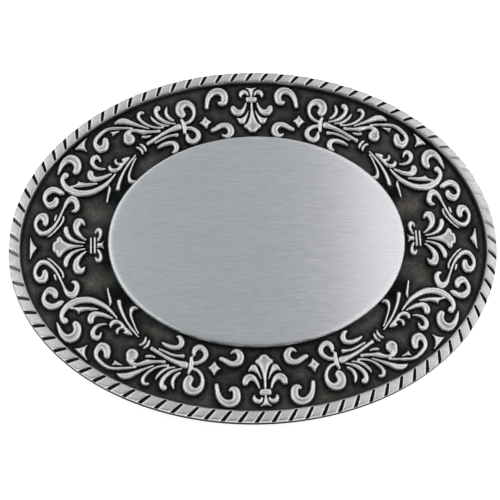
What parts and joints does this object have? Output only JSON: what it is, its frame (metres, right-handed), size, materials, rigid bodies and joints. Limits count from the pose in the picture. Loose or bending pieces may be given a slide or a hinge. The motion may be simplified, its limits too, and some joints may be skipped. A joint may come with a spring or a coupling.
{
  "type": "belt buckle",
  "caption": "Oval western belt buckle: plain brushed medallion, scrollwork relief on a dark field, rope edge, hinged wire bail and belt hook behind.",
  "frame": {"origin": "on the table under the middle of the buckle, which lies face up", "axes": "+X along the buckle's length, +Y across it towards the wearer's top edge, +Z out of the face"},
  "size_m": [0.095, 0.07, 0.0127],
  "materials": {
    "dark_field": "matte",
    "pewter": "satin",
    "brushed_face": "satin",
    "back_hardware": "satin"
  },
  "bodies": {
    "buckle": {"base_plate": "dark_field", "rope_edge": "pewter", "centre_medallion": "brushed_face", "bail_tube": "back_hardware", "bail_saddles": "back_hardware", "hook_base": "back_hardware", "hook_post": "back_hardware", "hook_pair_upper_right": "pewter", "hook_pair_upper_left": "pewter", "hook_pair_lower_right": "pewter", "hook_pair_lower_left": "pewter", "knot_upper_right": "pewter", "knot_upper_left": "pewter", "knot_lower_right": "pewter", "knot_lower_left": "pewter", "trumpet_upper_right": "pewter", "trumpet_upper_left": "pewter", "trumpet_lower_right": "pewter", "trumpet_lower_left": "pewter", "fan_upper_right": "pewter", "fan_upper_left": "pewter", "fan_lower_right": "pewter", "fan_lower_left": "pewter", "vine_upper_right": "pewter", "vine_upper_left": "pewter", "vine_lower_right": "pewter", "vine_lower_left": "pewter", "reeds_upper_right": "pewter", "reeds_upper_left": "pewter", "reeds_lower_right": "pewter", "reeds_lower_left": "pewter", "sweep_scroll_upper_right": "pewter", "sweep_scroll_upper_left": "pewter", "sweep_scroll_lower_right": "pewter", "sweep_scroll_lower_left": "pewter", "corner_scroll_upper_right": "pewter", "corner_scroll_upper_left": "pewter", "corner_scroll_lower_right": "pewter", "corner_scroll_lower_left": "pewter", "side_scroll_upper_right": "pewter", "side_scroll_upper_left": "pewter", "side_scroll_lower_right": "pewter", "side_scroll_lower_left": "pewter", "palmette_right": "pewter", "palmette_left": "pewter", "side_triangle_right": "pewter", "side_triangle_left": "pewter", "fleur_upper": "pewter", "fleur_lower": "pewter"},
    "bail": {"bail_wire": "back_hardware"}
  },
  "joints": [
    {"name": "bail_hinge", "type": "hinge", "parent": "buckle", "child": "bail", "pos_m": [-0.016, 0, 0.0025], "axis": [0, 1, 0], "range_deg": [-193, 15.8]}
  ]
}
